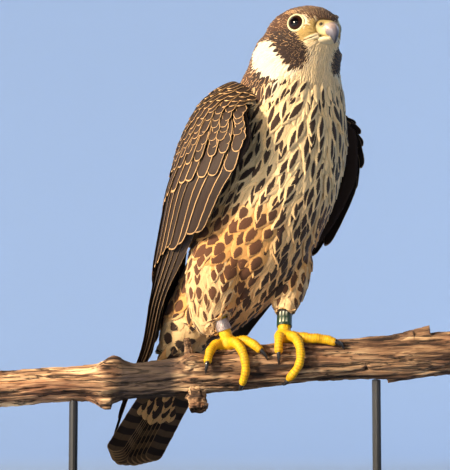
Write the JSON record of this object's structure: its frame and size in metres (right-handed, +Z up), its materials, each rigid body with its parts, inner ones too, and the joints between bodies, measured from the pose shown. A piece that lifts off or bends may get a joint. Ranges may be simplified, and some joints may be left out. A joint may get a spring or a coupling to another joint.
{
  "type": "perched juvenile peregrine falcon",
  "caption": "Life-size still model of a young peregrine falcon gripping a cut length of dead branch, held above a flat base by two short rods.",
  "frame": {"origin": "near the middle of the base's underside, below the middle of the branch", "axes": "+Z up; X runs along the branch; the bird faces between -Y and +X"},
  "size_m": [0.434, 0.2129, 0.4372],
  "materials": {
    "stand_board": "board with matt dark grey paint",
    "stand_rod": "steel rod with satin dark grey paint",
    "dead_wood": "weathered, cracked, bare of bark, grey-brown with warmer knots",
    "body_feathers": "soft buff feathers with dark brown streaks and spots",
    "head_feathers": "short brown feathers with a white cheek and a cream throat",
    "flight_feathers": "smooth dark brown feathers with thin buff edges",
    "foot_skin": "scaled bright yellow skin",
    "cere_skin": "smooth pale grey-yellow skin",
    "bill_horn": "smooth grey horn, darker to the tip",
    "claw_horn": "smooth black horn",
    "eye": "wet, clear, near-black brown",
    "band_metal": "worn bare metal",
    "band_dark": "black and dark green with plain pale marks"
  },
  "bodies": {
    "root": {"stand_base": "stand_board", "stand_rod_left": "stand_rod", "stand_rod_right": "stand_rod", "branch": "dead_wood", "torso": "body_feathers", "neck": "body_feathers", "head": "head_feathers", "eye_right": "eye", "eye_left": "eye", "bill_upper": "bill_horn", "bill_lower": "bill_horn", "cere": "cere_skin", "wing_right": "flight_feathers", "wing_left": "flight_feathers", "tail": "flight_feathers", "thigh_right": "body_feathers", "thigh_left": "body_feathers", "leg_right": "foot_skin", "leg_left": "foot_skin", "band_right": "band_metal", "band_left": "band_dark", "toe_right_inner": "foot_skin", "toe_right_middle": "foot_skin", "toe_right_outer": "foot_skin", "toe_right_hind": "foot_skin", "toe_left_inner": "foot_skin", "toe_left_middle": "foot_skin", "toe_left_outer": "foot_skin", "toe_left_hind": "foot_skin", "claw_right_inner": "claw_horn", "claw_right_middle": "claw_horn", "claw_right_outer": "claw_horn", "claw_right_hind": "claw_horn", "claw_left_inner": "claw_horn", "claw_left_middle": "claw_horn", "claw_left_outer": "claw_horn", "claw_left_hind": "claw_horn"}
  },
  "joints": []
}
